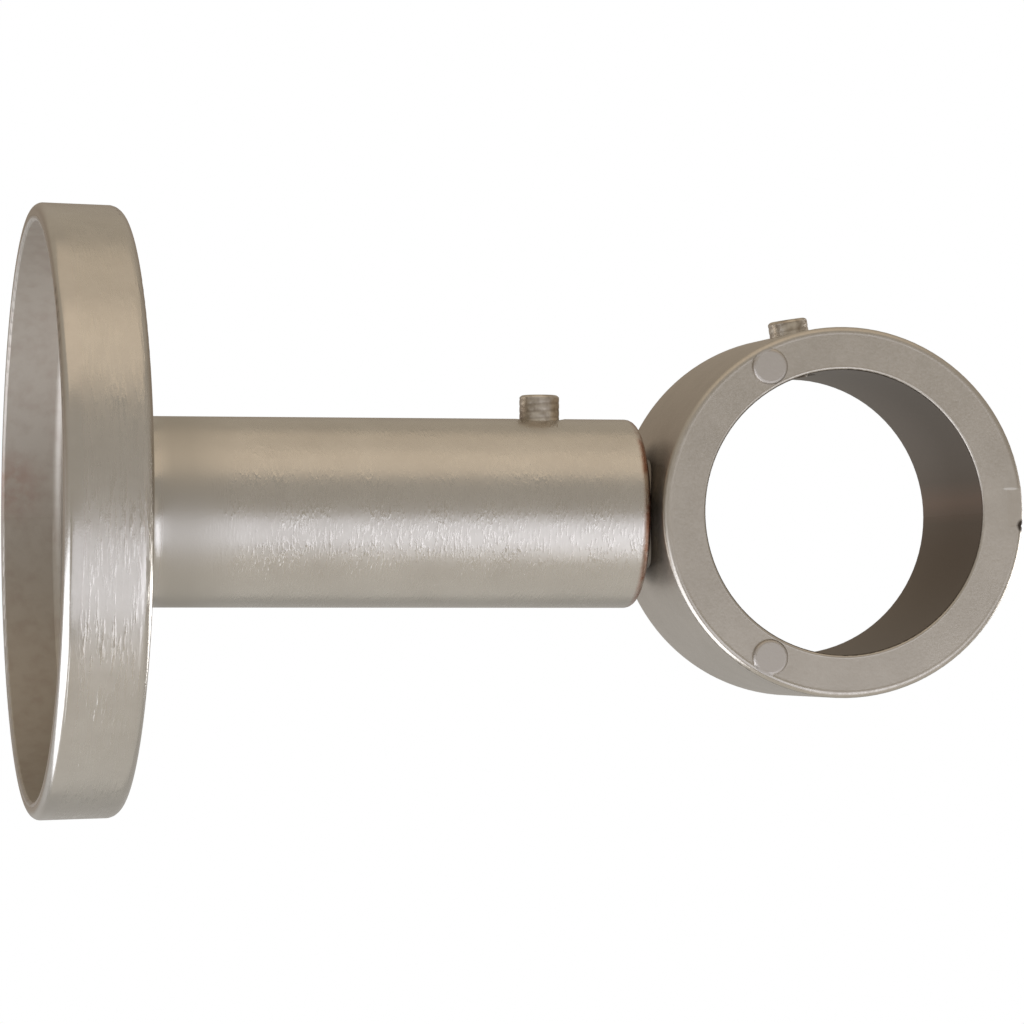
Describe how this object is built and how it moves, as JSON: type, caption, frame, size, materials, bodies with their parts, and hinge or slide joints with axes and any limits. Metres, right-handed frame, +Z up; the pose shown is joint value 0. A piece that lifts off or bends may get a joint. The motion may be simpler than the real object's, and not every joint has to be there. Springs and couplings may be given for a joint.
{
  "type": "curtain pole bracket",
  "caption": "Curtain pole wall bracket: a round hollow rose and stem cast in one, a closed pole ring on a spigot that slides in the stem, and hex socket grub screws.",
  "frame": {"origin": "middle of the rose's rim, in the plane that meets the wall", "axes": "+X out from the wall along the stem, Y along the pole, +Z up"},
  "size_m": [0.0985, 0.061, 0.061],
  "materials": {
    "satin_nickel": "satin nickel plate on a zinc casting",
    "plated_steel": "nickel plated steel"
  },
  "bodies": {
    "bracket": {"bracket_body": "satin_nickel"},
    "ring": {"pole_ring": "satin_nickel"},
    "stem_screw": {"stem_grub_screw": "plated_steel"},
    "ring_screw": {"ring_grub_screw": "plated_steel"}
  },
  "joints": [
    {"name": "ring_slide", "type": "slide", "parent": "bracket", "child": "ring", "axis": [1, 0, 0], "range_m": [-0.0004, 0.012]},
    {"name": "stem_screw_travel", "type": "slide", "parent": "bracket", "child": "stem_screw", "axis": [0, 0, 1], "range_m": [-0.00035, 0.003]},
    {"name": "ring_screw_travel", "type": "slide", "parent": "ring", "child": "ring_screw", "axis": [-0.1564, 0, 0.9877], "range_m": [-0.0015, 0.003]}
  ]
}
